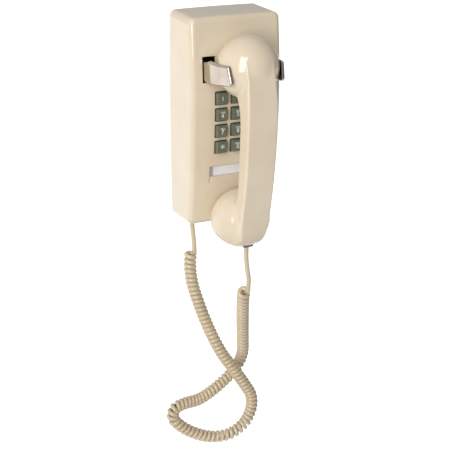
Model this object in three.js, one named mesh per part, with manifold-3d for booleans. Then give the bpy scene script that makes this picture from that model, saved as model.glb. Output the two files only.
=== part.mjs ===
// Slimline wall telephone, as an assembly of separate solids. Millimetres, +Z up.
// Origin: on the wall face of the base plate, at the middle of the body. The wall is the plane y = 0
// and the telephone faces -Y, with +X to the right of someone who stands in front of it.
import * as THREE from "three";
import { mergeVertices } from "three/addons/utils/BufferGeometryUtils.js";
import Module from "manifold-3d";

const wasm = await Module();
wasm.setup();

// ---------------------------------------------------------------- driving dimensions
const GAP = 0.3; // clearance kept between neighbours
const BODY = { width: 102.4, belly: 1.1, high: 113, low: 114.2, wall: 2.6 }; // belly: how far the sides bow out
const DEPTH = { top: 53.5, middle: 59, bottom: 48.5, end: 112 }; // of the front face, at the heights +end, 0 and -end
const CROWN = { top: 0.4, bottom: 0.6 }; // rise of the top and bottom edges at their middle
const DRAFT = { top: 0.5, bottom: 3.8 }; // how much further the top and bottom reach at the wall than at the front
const CORNER = 6.5; // corner radius of the body, seen from the front
const BACK_EDGE = -0.5; // the housing stops just short of the wall
const PLATE = 2; // base plate thickness

const KEY = { pitchX: 18, pitchZ: 17.8, topRow: 29, width: 13.6, height: 13.4, proud: 3.8, travel: 3.2 };
const KEY_HOLE = { width: 15, height: 14.8 };
const KEY_NAMES = ["1", "2", "3", "4", "5", "6", "7", "8", "9", "star", "0", "hash"];
const KEYPAD = { halfWidth: 33, low: -36.5, high: 40.6, flange: -54.4, frame: -49.8, sheet: -43.4, board: -42.3 };
const KEYPAD_SCREWS = [[-30, 37.4], [30, 37.4], [-30, -33.2], [30, -33.2]]; // x, z

const WINDOW = { halfWidth: 30, halfHeight: 6, z: -52, floor: -53.4 };
const SLOT = { outer: 39.2, inner: 24.2, low: 46.5, high: 73.6 }; // the cradle's two openings
const ARM = { root: 38.6, tip: 30.8, bend: -74, end: -108.5, sheet: 1.4, lip: 3 };
const PIVOT = { y: -30, z: 58 }; // axis of the cradle pin, along X

const RECEIVER = { y: -82.9, z: 65.3, radius: 32.4, tilt: -3.5, seam: 8.9, face: 22.4, capsule: 21 };
const MOUTH = { y: -70.2, z: -103.3, radius: 33, tilt: 7.8, seam: 7.2, face: 17.8, capsule: 23 };
const CUP_WALL = 2.8;
const HANDLE = { halfWidth: 16.6, crest: -120.2, crestZ: 20, upperCurve: 0.0032, lowerCurve: 0.00094 };

const BASE_JACK = { x: -38, y: -27, low: -108.4, high: -94 };
const HAND_JACK = { x: 0, y: -87, low: -130.6, high: -115.6 };
const PLUG = { x: 7.6, y: 6.5, length: 12.5 };
const CORD = { diameter: 5.2, coil: 15 };

// Middle line of each stretch of the cord, chosen by hand.
const LEAD_BASE = [[-38, -27, -113.6], [-38, -27, -124], [-36.6, -27, -138], [-35.6, -27.4, -154.6]];
const COIL = [
  [-40.5, -28, -155.6], [-42.2, -30, -170], [-41.5, -34, -190], [-36, -40, -215], [-27, -47, -245], [-14, -55, -277],
  [0, -60, -300], [13, -63, -322], [22, -63, -340], [22.5, -62, -360], [14.5, -60, -378.5], [-2, -58, -389.5],
  [-24, -56, -389.5], [-47, -55, -379], [-66, -54, -363.5], [-74.5, -52.6, -351], [-71.5, -51.2, -340.5],
  [-59.5, -49.8, -337.5], [-40, -47, -338.5], [-20, -43, -333.5], [-4, -39, -327], [9, -37, -318.5],
  [17.5, -38, -306], [20, -42, -291], [16.5, -49, -268], [10, -61, -235], [3, -75, -202], [0.6, -82, -187],
];
const LEAD_HANDSET = [[0, -87, -132.1], [0, -87, -144], [1.4, -87, -158], [4, -86, -172], [5.3, -82.9, -185.2]];

// ---------------------------------------------------------------- materials
const finish = (color, roughness, metalness = 0) => new THREE.MeshStandardMaterial({ color, roughness, metalness });
const MATERIAL = {
  beige: () => finish(0xdccbb0, 0.25),
  key: () => finish(0x54584a, 0.35),
  chrome: () => finish(0xc9c9cb, 0.12, 1),
  steel: () => finish(0x9a9c9e, 0.4, 1),
  card: () => finish(0xe2dedb, 0.7),
  clear: () => Object.assign(finish(0xf0f2f2, 0.05), { transparent: true, opacity: 0.3 }),
  board: () => finish(0x2f5a3a, 0.6),
  rubber: () => finish(0x2b2b2d, 0.8),
  copper: () => finish(0xb4703a, 0.35, 1),
  brass: () => finish(0xb89a55, 0.3, 1),
  grey: () => finish(0x6d6f70, 0.5),
  black: () => finish(0x1c1d1e, 0.5),
  cord: () => finish(0xd8c8ac, 0.35),
};

// ---------------------------------------------------------------- solids and booleans
// A closed geometry as a manifold solid, turned so that its faces point out.
function solid(geometry) {
  const bare = geometry.index ? geometry.toNonIndexed() : geometry.clone();
  bare.deleteAttribute("normal");
  bare.deleteAttribute("uv");
  const merged = mergeVertices(bare, 1e-4);
  const make = (triVerts) =>
    new wasm.Manifold(new wasm.Mesh({ numProp: 3, vertProperties: merged.attributes.position.array, triVerts }));
  const triVerts = new Uint32Array(merged.index.array);
  const made = make(triVerts);
  return made.volume() > 0 ? made : make(triVerts.reverse());
}

function geometryOf(body) {
  const mesh = body.getMesh();
  const geometry = new THREE.BufferGeometry();
  geometry.setAttribute("position", new THREE.BufferAttribute(new Float32Array(mesh.vertProperties), 3));
  geometry.setIndex(new THREE.BufferAttribute(new Uint32Array(mesh.triVerts), 1));
  geometry.computeVertexNormals();
  return geometry;
}

const join = (first, ...rest) => rest.reduce((sum, piece) => sum.add(piece), first);
const cut = (body, ...tools) => tools.reduce((left, tool) => left.subtract(tool), body);

// A box from its low corner to its high corner.
function block(low, high) {
  const size = high.map((value, i) => value - low[i]);
  const geometry = new THREE.BoxGeometry(...size);
  return solid(geometry.translate(...low.map((value, i) => value + size[i] / 2)));
}

const TURN_TO = { x: [0, 0, -Math.PI / 2], y: [0, 0, 0], z: [Math.PI / 2, 0, 0] };

// A round bar along an axis, from one coordinate to the other.
function bar(axis, radius, from, to, centre, sides = 16) {
  const geometry = new THREE.CylinderGeometry(radius, radius, Math.abs(to - from), sides);
  const [rx, ry, rz] = TURN_TO[axis];
  geometry.rotateX(rx).rotateY(ry).rotateZ(rz);
  const at = { ...centre, [axis]: (from + to) / 2 };
  return solid(geometry.translate(at.x ?? 0, at.y ?? 0, at.z ?? 0));
}

// A turned piece about the Y axis: profile points are [radius, y].
function turned(profile, sides = 28) {
  return solid(new THREE.LatheGeometry(profile.map(([r, y]) => new THREE.Vector2(r, y)), sides));
}

const ALONG_X = new THREE.Matrix4().makeBasis(
  new THREE.Vector3(0, 1, 0), new THREE.Vector3(0, 0, 1), new THREE.Vector3(1, 0, 0));
const ALONG_MINUS_Y = new THREE.Matrix4().makeBasis(
  new THREE.Vector3(1, 0, 0), new THREE.Vector3(0, 0, 1), new THREE.Vector3(0, -1, 0));

// An outline drawn in (y, z), as thick as x runs.
function prismX(shape, x0, x1, curveSegments = 8) {
  const geometry = new THREE.ExtrudeGeometry(shape, { depth: x1 - x0, bevelEnabled: false, curveSegments });
  return solid(geometry.applyMatrix4(ALONG_X).translate(x0, 0, 0));
}

// An outline drawn in (x, z), from y0 forward to y1, where y1 < y0.
function prismY(shape, y0, y1, curveSegments = 6) {
  const geometry = new THREE.ExtrudeGeometry(shape, { depth: y0 - y1, bevelEnabled: false, curveSegments });
  return solid(geometry.applyMatrix4(ALONG_MINUS_Y).translate(0, y0, 0));
}

// A closed tube of round section through the given points.
function tube(points, diameter, sides, steps) {
  const path = new THREE.CatmullRomCurve3(points.map((p) => new THREE.Vector3(...p)));
  const ring = new THREE.Shape();
  for (let i = 0; i < sides; i++) {
    const angle = (2 * Math.PI * i) / sides;
    const [x, y] = [Math.cos(angle), Math.sin(angle)].map((v) => (v * diameter) / 2);
    if (i) ring.lineTo(x, y);
    else ring.moveTo(x, y);
  }
  return solid(new THREE.ExtrudeGeometry(ring, { steps, extrudePath: path, bevelEnabled: false }));
}

function part(name, body, material, parent) {
  const mesh = new THREE.Mesh(geometryOf(body), material());
  mesh.name = name;
  parent.add(mesh);
  return mesh;
}

// ---------------------------------------------------------------- body outlines
// Depth of the front face at height z.
function frontDepth(z) {
  const t = z / DEPTH.end;
  const { top, middle, bottom } = DEPTH;
  return middle + ((top - bottom) / 2) * t + ((top + bottom) / 2 - middle) * t * t;
}

// The body seen from the front, shrunk by inset.
function faceOutline(inset) {
  const side = BODY.width / 2 - inset;
  const radius = Math.max(CORNER - inset, 2);
  const high = BODY.high - CROWN.top - inset;
  const low = -BODY.low + CROWN.bottom + inset;
  const bow = side + 2 * BODY.belly;
  const shape = new THREE.Shape();
  shape.moveTo(-side, low + radius);
  shape.quadraticCurveTo(-side, low, -side + radius, low);
  shape.quadraticCurveTo(0, low - 2 * CROWN.bottom, side - radius, low);
  shape.quadraticCurveTo(side, low, side, low + radius);
  shape.quadraticCurveTo(bow, 0, side, high - radius);
  shape.quadraticCurveTo(side, high, side - radius, high);
  shape.quadraticCurveTo(0, high + 2 * CROWN.top, -side + radius, high);
  shape.quadraticCurveTo(-side, high, -side, high - radius);
  shape.quadraticCurveTo(-bow, 0, -side, low + radius);
  return shape;
}

// The body seen from the side, in (y, z), shrunk by inset at the front only.
function sideOutline(inset) {
  const reach = BODY.low + 4; // past both ends: the front view sets the height
  const shape = new THREE.Shape();
  shape.moveTo(BACK_EDGE + inset, -reach);
  const steps = 14;
  for (let i = 0; i <= steps; i++) {
    const z = -reach + (2 * reach * i) / steps;
    shape.lineTo(-frontDepth(z) + inset, z);
  }
  shape.lineTo(BACK_EDGE + inset, reach);
  shape.closePath();
  return shape;
}

// Lets the top and bottom reach further the nearer they are to the wall.
function drafted(body) {
  return body.warp((point) => {
    const [, y, z] = point;
    const share = z > 0 ? DRAFT.top / BODY.high : DRAFT.bottom / BODY.low;
    point[2] = z * (1 + share * (1 + y / frontDepth(z)));
  });
}

function bodySolid(inset) {
  const front = prismY(faceOutline(inset), 10, -80);
  return drafted(front.intersect(prismX(sideOutline(inset), -80, 80)));
}

const keyCentre = (i) => ({ x: ((i % 3) - 1) * KEY.pitchX, z: KEY.topRow - Math.floor(i / 3) * KEY.pitchZ });

// ---------------------------------------------------------------- housing and base plate
function housing(parent) {
  const { wall } = BODY;
  const boss = ([x, z]) => bar("y", 3.2, KEYPAD.frame - GAP, -frontDepth(z) + wall / 2, { x, z }, 12);
  const bossHole = ([x, z]) => bar("y", 1.5, -49, -54.6, { x, z }, 8);
  const holes = KEY_NAMES.map((_, i) => {
    const { x, z } = keyCentre(i);
    return block([x - KEY_HOLE.width / 2, -70, z - KEY_HOLE.height / 2],
      [x + KEY_HOLE.width / 2, -45, z + KEY_HOLE.height / 2]);
  });
  const slots = [-1, 1].map((side) => {
    const [a, b] = [side * SLOT.outer, side * SLOT.inner].sort((p, q) => p - q);
    return block([a, -70, SLOT.low], [b, -45, SLOT.high]);
  });
  const { halfWidth, halfHeight, z, floor } = WINDOW;
  const backing = block([-halfWidth - 3, floor - 1, z - halfHeight - 3], [halfWidth + 3, floor + 2.4, z + halfHeight + 3]);
  const pocket = block([-halfWidth, -70, z - halfHeight], [halfWidth, floor, z + halfHeight]);
  const release = block([-halfWidth - 0.4, -70, z - halfHeight - 7], [-halfWidth + 0.6, -45, z - halfHeight - 1]);
  const { x, y } = BASE_JACK;
  const jackHole = block([x - 5, y - 4.5, -125], [x + 5, y + 4.5, -100]);
  const sliderSlot = block([9, -32.2, -125], [29, -27.8, -100]);
  const screwHole = bar("z", 2, -125, -100, { x: 0, y: -20 }, 12);
  const shell = cut(bodySolid(0), bodySolid(wall));
  const bossed = join(shell, ...KEYPAD_SCREWS.map(boss), backing);
  part("housing", cut(bossed, ...holes, ...slots, pocket, release, ...KEYPAD_SCREWS.map(bossHole),
    jackHole, sliderSlot, screwHole), MATERIAL.beige, parent);
}

// A keyhole in (x, z): a round entry with a narrow slot above it.
function keyhole(z) {
  const entry = bar("y", 5, -4, 4, { x: 0, z: z - 7 }, 16);
  return join(entry, block([-2.6, -4, z - 7], [2.6, 4, z]), bar("y", 2.6, -4, 4, { x: 0, z }, 12));
}

function basePlate(parent) {
  const sheet = drafted(prismY(faceOutline(BODY.wall + 0.5), 0, -PLATE));
  const tab = block([-7, -27, -107.6], [7, -PLATE / 2, -105.8]);
  const plugHole = block([-11, -4, -31], [11, 4, -9]);
  const screwHole = bar("z", 1.9, -110, -100, { x: 0, y: -20 }, 12);
  part("base_plate", cut(join(sheet, tab), keyhole(26), keyhole(-62), plugHole, screwHole), MATERIAL.steel, parent);
  const plug = join(block([-8, -13, -27], [8, -PLATE - GAP, -13]), block([-6, -PLATE - 1, -25], [6, BACK_EDGE, -15]));
  part("line_plug", plug, MATERIAL.grey, parent);
}

function bottomScrew(parent) {
  const under = -BODY.low - DRAFT.bottom * (1 - 20 / DEPTH.bottom) - GAP; // just below the bottom face
  const head = bar("z", 3.4, under - 1.8, under, { x: 0, y: -20 }, 16);
  const shank = bar("z", 1.5, under - 0.4, -100.5, { x: 0, y: -20 }, 8);
  const slot = block([-4, -20.5, under - 3], [4, -19.5, under - 0.9]);
  part("housing_screw", cut(join(head, shank), slot), MATERIAL.steel, parent);
}

// ---------------------------------------------------------------- keypad
function keySolid() {
  // A block with tapered sides, a wide flange behind the housing and a square stem.
  const base = block([-KEY.width / 2, -frontDepth(0) - 0.4, -KEY.height / 2], [KEY.width / 2, KEYPAD.flange, KEY.height / 2]);
  const cap = new THREE.CylinderGeometry(1, 1, 1, 4).rotateY(Math.PI / 4); // a square bar, shaped below
  const corner = cap.attributes.position;
  const high = -frontDepth(0) - KEY.proud;
  for (let i = 0; i < corner.count; i++) {
    const top = corner.getY(i) < 0;
    const edge = Math.hypot(corner.getX(i), corner.getZ(i)) > 0.5;
    const halfX = edge ? KEY.width / 2 - (top ? 1.3 : 0) : 0;
    const halfZ = edge ? KEY.height / 2 - (top ? 1.3 : 0) : 0;
    corner.setXYZ(i, Math.sign(corner.getX(i)) * halfX, top ? high : -frontDepth(0), Math.sign(corner.getZ(i)) * halfZ);
  }
  const flange = block([-8.1, KEYPAD.flange - 0.1, -8.1], [8.1, KEYPAD.flange + 1, 8.1]);
  const stem = block([-4.3, KEYPAD.flange + 0.9, -4.3], [4.3, -47.2, 4.3]);
  return join(base, solid(cap), flange, stem);
}

function keypad(parent) {
  const { halfWidth, low, high, frame, sheet, board } = KEYPAD;
  const plate = block([-halfWidth, frame, low], [halfWidth, frame + 1.6, high]);
  const pillars = KEYPAD_SCREWS.map(([x, z]) => bar("y", 2.7, frame + 0.5, sheet - GAP, { x, z }, 12));
  const screwHoles = KEYPAD_SCREWS.map(([x, z]) => bar("y", 1.5, -60, -36, { x, z }, 8));
  const stems = KEY_NAMES.map((_, i) => {
    const { x, z } = keyCentre(i);
    return block([x - 4.7, frame - 1, z - 4.7], [x + 4.7, frame + 3, z + 4.7]);
  });
  part("keypad_frame", cut(join(plate, ...pillars), ...stems, ...screwHoles), MATERIAL.grey, parent);
  part("keypad_contact_sheet", cut(block([-halfWidth, sheet, low], [halfWidth, sheet + 0.8, high]), ...screwHoles),
    MATERIAL.rubber, parent);
  part("keypad_board", cut(block([-halfWidth, board, low], [halfWidth, board + 1.6, high]), ...screwHoles),
    MATERIAL.board, parent);
  KEYPAD_SCREWS.forEach(([x, z], i) => {
    const head = bar("y", 2.7, board + 1.6 + GAP, board + 3.6, { x, z }, 12);
    const shank = bar("y", 1.15, -54, board + 2.2, { x, z }, 8);
    part("keypad_screw_" + (i + 1), join(head, shank), MATERIAL.steel, parent);
  });
  KEY_NAMES.forEach((name, i) => {
    const { x, z } = keyCentre(i);
    part("key_" + name, keySolid(), MATERIAL.key, parent).position.set(x, 0, z);
  });
}

function numberCard(parent) {
  const { halfWidth, halfHeight, z, floor } = WINDOW;
  const inX = halfWidth - GAP;
  const inZ = halfHeight - GAP;
  part("number_card", block([-inX, floor - 0.9, z - inZ], [inX, floor - GAP, z + inZ]), MATERIAL.card, parent);
  part("card_window", block([-inX, floor - 2.6, z - inZ], [inX, floor - 1.2, z + inZ]), MATERIAL.clear, parent);
}

// ---------------------------------------------------------------- cradle and hook switch
// One arm in (x, y), bent inward past the slot, then raised to a sheet of sloping height.
function cradleArm(side) {
  const shape = new THREE.Shape();
  const outline = [[ARM.root, PIVOT.y + 6], [ARM.root, ARM.bend], [ARM.tip, ARM.end], [ARM.tip - ARM.lip, ARM.end],
    [ARM.tip - ARM.lip, ARM.end + ARM.sheet], [ARM.tip - ARM.sheet, ARM.end + ARM.sheet],
    [ARM.root - ARM.sheet, ARM.bend + 0.3], [ARM.root - ARM.sheet, PIVOT.y + 6]];
  outline.forEach(([x, y], i) => (i ? shape.lineTo(side * x, y) : shape.moveTo(side * x, y)));
  shape.closePath();
  const sheet = solid(new THREE.ExtrudeGeometry(shape, { depth: 60, bevelEnabled: false }).translate(0, 0, 30));
  const profile = new THREE.Shape();
  [[PIVOT.y + 6, 50], [-58, 47.2], [-70, 48.2], [ARM.end - 1, 54.6], [ARM.end - 1, 73.6], [-70, 72], [-60, 69.9],
    [-52, 69.9], [-46, 64], [PIVOT.y + 6, 64]].forEach(([y, z], i) => (i ? profile.lineTo(y, z) : profile.moveTo(y, z)));
  profile.closePath();
  return sheet.intersect(prismX(profile, -60, 60));
}

function cradle(parent) {
  const bridge = block([-ARM.root, PIVOT.y + 4, 50], [ARM.root, PIVOT.y + 6, 56]);
  const pinHole = bar("x", 2 + GAP, -60, 60, PIVOT, 12);
  part("cradle", cut(join(bridge, cradleArm(-1), cradleArm(1)), pinHole), MATERIAL.chrome, parent);
  part("cradle_pin", bar("x", 2, -ARM.root - 2, ARM.root + 2, PIVOT, 12), MATERIAL.steel, parent);
  const ear = (x) => block([x - 0.8, -36, 52], [x + 0.8, -PLATE - GAP, 64]);
  const back = block([-32, -PLATE - GAP - 1.6, 59], [32, -PLATE - GAP, 72]);
  const bridgeRoom = block([-60, PIVOT.y + 2.5, 44], [60, PIVOT.y + 9, 57]);
  part("cradle_mount", cut(join(back, ear(-31), ear(31)), pinHole, bridgeRoom), MATERIAL.steel, parent);
  part("hookswitch_block", block([-9, -18, 76], [9, -PLATE - GAP, 82]), MATERIAL.black, parent);
  part("hookswitch_leaf", join(block([-4, -19, 56.5], [4, -18.3, 80]), block([-4, -19, 76], [4, -18.3, 82])),
    MATERIAL.brass, parent);
}

// ---------------------------------------------------------------- electronics and ringer
function electronics(parent) {
  part("circuit_board", block([-42, -12, 84], [42, -10.4, 105]), MATERIAL.board, parent);
  part("speech_network", block([-22, -27, 86], [22, -12 - GAP, 103]), MATERIAL.black, parent);
  const { x, y, low, high } = BASE_JACK;
  const jack = cut(block([x - 6.5, y - 6, low], [x + 6.5, y + 6, high]), plugRoom(x, y, low));
  part("handset_jack_base", jack, MATERIAL.grey, parent);
}

// The room for a plug that goes up into a jack.
function plugRoom(x, y, low) {
  return block([x - PLUG.x / 2 - GAP, y - PLUG.y / 2 - GAP, low - 5], [x + PLUG.x / 2 + GAP, y + PLUG.y / 2 + GAP, low + 13]);
}

function plug(x, y, bottom) {
  const body = block([x - PLUG.x / 2, y - PLUG.y / 2, bottom], [x + PLUG.x / 2, y + PLUG.y / 2, bottom + PLUG.length]);
  const latch = block([x - 1.6, y - PLUG.y / 2 - 1, bottom], [x + 1.6, y - PLUG.y / 2 + 0.5, bottom + 0.8]);
  return join(body, latch);
}

function ringer(parent) {
  const back = -PLATE - GAP;
  const gongAt = { x: 18.5, z: -92 };
  const hinge = { x: -2, z: -80 };
  const frame = block([-34, back - 2, -101], [36, back, -77]);
  const post = bar("y", 1.1, back - 1, -24, hinge, 12);
  const cheeks = [-31, -7.6].map((x) => block([x, -23, -98], [x + 1.6, back - 1, -82]));
  const gongPost = bar("y", 2.2, back - 1, -16, gongAt, 12);
  part("ringer_frame", join(frame, post, ...cheeks, gongPost), MATERIAL.steel, parent);
  part("ringer_coil", bar("x", 7.2, -29.4 + GAP, -7.6 - GAP, { y: -14, z: -90 }, 20), MATERIAL.copper, parent);
  const gong = turned([[2.6, -19], [2.6, -17.6], [8, -17.4], [12, -14], [13.6, -8], [14.6, -8], [13.2, -15], [8.6, -19], [2.6, -19]], 24);
  part("ringer_gong", gong, MATERIAL.brass, parent).position.set(gongAt.x, 0, gongAt.z);
  const screw = join(bar("y", 4.2, -21, -19 - GAP, gongAt, 14), bar("y", 1.6, -20, -16.4, gongAt, 10));
  part("gong_screw", screw, MATERIAL.steel, parent);
  const hub = cut(bar("y", 2.8, -22, -18, hinge, 14), bar("y", 1.1 + GAP, -26, -10, hinge, 12));
  const arm = block([hinge.x - 0.6, -21, hinge.z - 15], [hinge.x + 0.6, -19, hinge.z - 2]);
  const ball = solid(new THREE.SphereGeometry(1.9, 12, 8).translate(hinge.x, -20, hinge.z - 16));
  part("ringer_clapper", join(hub, arm, ball), MATERIAL.brass, parent);
  const slider = join(block([12, -31.4, -117.2], [16, -28.6, -107]), block([10, -33, -108.6], [18, -27, -107]));
  part("ringer_volume_slider", slider, MATERIAL.black, parent);
}

// ---------------------------------------------------------------- handset
// A solid in a cup's own frame, whose +Y looks at the wall, moved to its place in the handset.
function placed(body, cup) {
  return body.rotate([cup.tilt, 0, 0]).translate([0, cup.y, cup.z]);
}

function ball(radius) {
  return solid(new THREE.SphereGeometry(radius, 28, 16));
}

function handleSolid() {
  const { crest, crestZ, upperCurve, lowerCurve, halfWidth } = HANDLE;
  const outerY = (z) => crest + (z > crestZ ? upperCurve : lowerCurve) * (z - crestZ) ** 2;
  const outer = [70, 54, 37, 20, -10, -40, -72, -104].map((z) => new THREE.Vector2(outerY(z), z));
  const shape = new THREE.Shape();
  shape.moveTo(-84, 80);
  shape.lineTo(-98, 84);
  shape.quadraticCurveTo(-108.5, 82, outer[0].x, outer[0].y);
  shape.splineThru(outer.slice(1));
  shape.quadraticCurveTo(-103.5, -124, -86, -129.5);
  shape.lineTo(-74, -122);
  shape.lineTo(-74, -84);
  shape.quadraticCurveTo(-92, -80, -94, -60);
  shape.lineTo(-97.6, 8);
  shape.quadraticCurveTo(-97, 36, -76, 46);
  shape.closePath();
  return prismX(shape, -halfWidth, halfWidth, 6);
}

function wireDuct() {
  const shape = new THREE.Shape();
  [[-107, 66], [-114, 20], [-109, -50], [-98, -98], [-86, -98], [-98, -55], [-101, 20], [-98, 58], [-90, 66]]
    .forEach(([y, z], i) => (i ? shape.lineTo(y, z) : shape.moveTo(y, z)));
  shape.closePath();
  return prismX(shape, -9, 9);
}

function handsetBody(parent) {
  const cups = [RECEIVER, MOUTH];
  const behindSeam = (cup, from) => placed(block([-60, from, -60], [60, 60, 60]), cup);
  const outside = join(handleSolid(), ...cups.map((cup) => placed(ball(cup.radius), cup)));
  const hollows = cups.map((cup) => placed(ball(cup.radius - CUP_WALL), cup));
  const seams = cups.map((cup) => behindSeam(cup, cup.seam));
  const { x, y, low, high } = HAND_JACK;
  const jackHole = block([x - 6, y - 5.5, -140], [x + 6, y + 5.5, high]);
  part("handset_body", cut(outside, wireDuct(), ...hollows, ...seams, jackHole), MATERIAL.beige, parent);
  const jack = cut(block([x - 5.6, y - 5.1, low], [x + 5.6, y + 5.1, high]), plugRoom(x, y, low));
  part("handset_jack", jack, MATERIAL.grey, parent);
}

// A cap that screws into a cup, in the cup's own frame, with a ring of sound holes.
function capSolid({ radius, seam, face }, holeRing) {
  const rim = Math.sqrt(radius ** 2 - seam ** 2);
  const start = seam + GAP;
  const profile = [[0, face], [rim - 8.5, face], [rim - 5.2, face - 1.8], [rim, start], [rim - 3.4, start],
    [rim - 3.4, seam - 4], [rim - 5, seam - 4], [rim - 5, start + 1], [rim - 8.4, face - 3.4], [rim - 9.8, face - 2.2],
    [0, face - 2.2]];
  const holes = [bar("y", 1.3, 0, 40, {}, 8)];
  for (let i = 0; i < 6; i++) {
    const angle = (i * Math.PI) / 3;
    holes.push(bar("y", 1.3, 0, 40, { x: holeRing * Math.cos(angle), z: holeRing * Math.sin(angle) }, 8));
  }
  return cut(turned(profile, 32), ...holes);
}

function handset(parent) {
  handsetBody(parent);
  const group = (cup) => {
    const inner = new THREE.Group();
    inner.position.set(0, cup.y, cup.z);
    inner.rotation.x = THREE.MathUtils.degToRad(cup.tilt);
    parent.add(inner);
    return inner;
  };
  const ear = group(RECEIVER);
  const mouth = group(MOUTH);
  part("receiver_cap", capSolid(RECEIVER, 8), MATERIAL.beige, ear);
  part("receiver_capsule", turned([[0, 4], [14, 4], [RECEIVER.capsule, 9], [RECEIVER.capsule, 18.6], [0, 18.6]], 24),
    MATERIAL.steel, ear);
  part("transmitter_cap", capSolid(MOUTH, 9), MATERIAL.beige, mouth);
  part("transmitter_capsule", turned([[0, 2], [16, 2], [MOUTH.capsule, 5], [MOUTH.capsule, 14.6], [0, 14.6]], 24),
    MATERIAL.steel, mouth);
  part("transmitter_contact_cup", turned([[0, -2], [21, -2], [23, 1], [23, 4.4], [24.4, 4.4], [24.4, 0], [21.6, -4], [0, -4]], 24),
    MATERIAL.black, mouth);
}

// ---------------------------------------------------------------- cord
function cord(parent) {
  part("cord_plug_base", plug(BASE_JACK.x, BASE_JACK.y, LEAD_BASE[0][2] + GAP), MATERIAL.clear, parent);
  part("cord_plug_handset", plug(HAND_JACK.x, HAND_JACK.y, LEAD_HANDSET[0][2] + GAP), MATERIAL.clear, parent);
  part("cord_lead_base", tube(LEAD_BASE, CORD.diameter, 10, 4), MATERIAL.cord, parent);
  part("cord_coil", tube(COIL, CORD.coil, 12, 76), MATERIAL.cord, parent);
  part("cord_lead_handset", tube(LEAD_HANDSET, CORD.diameter, 10, 5), MATERIAL.cord, parent);
}

const telephone = new THREE.Group();
[housing, basePlate, bottomScrew, keypad, numberCard, cradle, electronics, ringer, handset, cord]
  .forEach((make) => make(telephone));

export default telephone;
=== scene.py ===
"""Slimline wall telephone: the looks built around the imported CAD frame.

Millimetres in the shape code, metres in Blender. The wall is the plane y = 0 and the telephone
faces -Y, with +X to the right of someone who stands in front of it.
"""

import math

import bmesh
import bpy
import numpy as np
from mathutils import Matrix, Vector
from mathutils.geometry import delaunay_2d_cdt


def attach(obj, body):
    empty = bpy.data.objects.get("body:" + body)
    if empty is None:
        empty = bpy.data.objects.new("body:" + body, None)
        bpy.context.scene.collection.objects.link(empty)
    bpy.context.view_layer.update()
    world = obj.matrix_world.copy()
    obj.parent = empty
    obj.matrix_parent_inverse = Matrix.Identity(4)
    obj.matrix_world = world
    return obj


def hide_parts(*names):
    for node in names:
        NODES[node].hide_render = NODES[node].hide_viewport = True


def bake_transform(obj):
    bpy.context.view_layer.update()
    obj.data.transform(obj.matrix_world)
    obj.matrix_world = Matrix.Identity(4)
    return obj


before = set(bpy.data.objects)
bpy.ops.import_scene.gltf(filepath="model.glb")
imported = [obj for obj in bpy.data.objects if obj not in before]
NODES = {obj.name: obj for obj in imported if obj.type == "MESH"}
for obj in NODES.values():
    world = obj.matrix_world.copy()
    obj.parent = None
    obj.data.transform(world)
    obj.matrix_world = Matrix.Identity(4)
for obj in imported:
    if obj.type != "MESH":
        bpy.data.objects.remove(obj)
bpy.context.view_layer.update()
MM = 0.001

# ---------------------------------------------------------------- dimensions, as in the CAD
BODY = {"width": 102.4, "belly": 1.1, "high": 113.0, "low": 114.2, "wall": 2.6, "back": -0.5}
CROWN = {"top": 0.4, "bottom": 0.6}
DRAFT = {"top": 0.5, "bottom": 3.8}  # how much further the back edge reaches than the front
CORNER = 6.5
EDGE_RADIUS = 5.5
END_HEIGHT = 112.0  # height at which the two end depths of the front are given
KEY = {"pitch_x": 18.0, "pitch_z": 17.8, "top_row": 29.0}
KEY_HOLE = ((7.5, 7.4), 1.2, 0.4)  # half size, corner and rounding of the rim
KEY_NAMES = ["1", "2", "3", "4", "5", "6", "7", "8", "9", "star", "0", "hash"]
KEY_SIGNS = ["1", "2", "3", "4", "5", "6", "7", "8", "9", "*", "0", "#"]
KEY_LETTERS = ["", "ABC", "DEF", "GHI", "JKL", "MNO", "PRS", "TUV", "WXY", "", "OPER", ""]
WINDOW = {"half_width": 30.0, "half_height": 6.0, "z": -52.0, "floor": -53.4}
SLOT = {"outer": 39.2, "inner": 24.2, "low": 46.5, "high": 73.6}
RECEIVER = {"y": -82.9, "z": 65.3, "radius": 32.4, "tilt": -3.5, "seam": 8.9, "face": 22.4, "holes": 8.0}
MOUTH = {"y": -70.2, "z": -103.3, "radius": 33.0, "tilt": 7.8, "seam": 7.2, "face": 17.8, "holes": 9.0}
CUP_WALL = 2.8
HANDLE = {"half_width": 16.6, "crest": -120.2, "crest_z": 20.0, "curve": 0.00094, "upper_curve": 0.0032,
          "narrowing": 0.8, "outer_edge": 1.6, "inner_edge": 6.0}
STRAND = 5.2  # diameter of the cord's own strand
COIL_RADIUS = 4.9  # from the middle of the coil to the middle of the strand

# Middle line of each stretch of the cord, the same points as in the CAD.
LEAD_BASE = [(-38, -27, -113.6), (-38, -27, -124), (-36.6, -27, -138), (-35.6, -27.4, -154.6)]
COIL = [
    (-40.5, -28, -155.6), (-42.2, -30, -170), (-41.5, -34, -190), (-36, -40, -215), (-27, -47, -245),
    (-14, -55, -277), (0, -60, -300), (13, -63, -322), (22, -63, -340), (22.5, -62, -360),
    (14.5, -60, -378.5), (-2, -58, -389.5), (-24, -56, -389.5), (-47, -55, -379), (-66, -54, -363.5),
    (-74.5, -52.6, -351), (-71.5, -51.2, -340.5), (-59.5, -49.8, -337.5), (-40, -47, -338.5),
    (-20, -43, -333.5), (-4, -39, -327), (9, -37, -318.5), (17.5, -38, -306), (20, -42, -291),
    (16.5, -49, -268), (10, -61, -235), (3, -75, -202), (0.6, -82, -187),
]
LEAD_HANDSET = [(0, -87, -132.1), (0, -87, -144), (1.4, -87, -158), (4, -86, -172), (5.3, -82.9, -185.2)]


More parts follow.
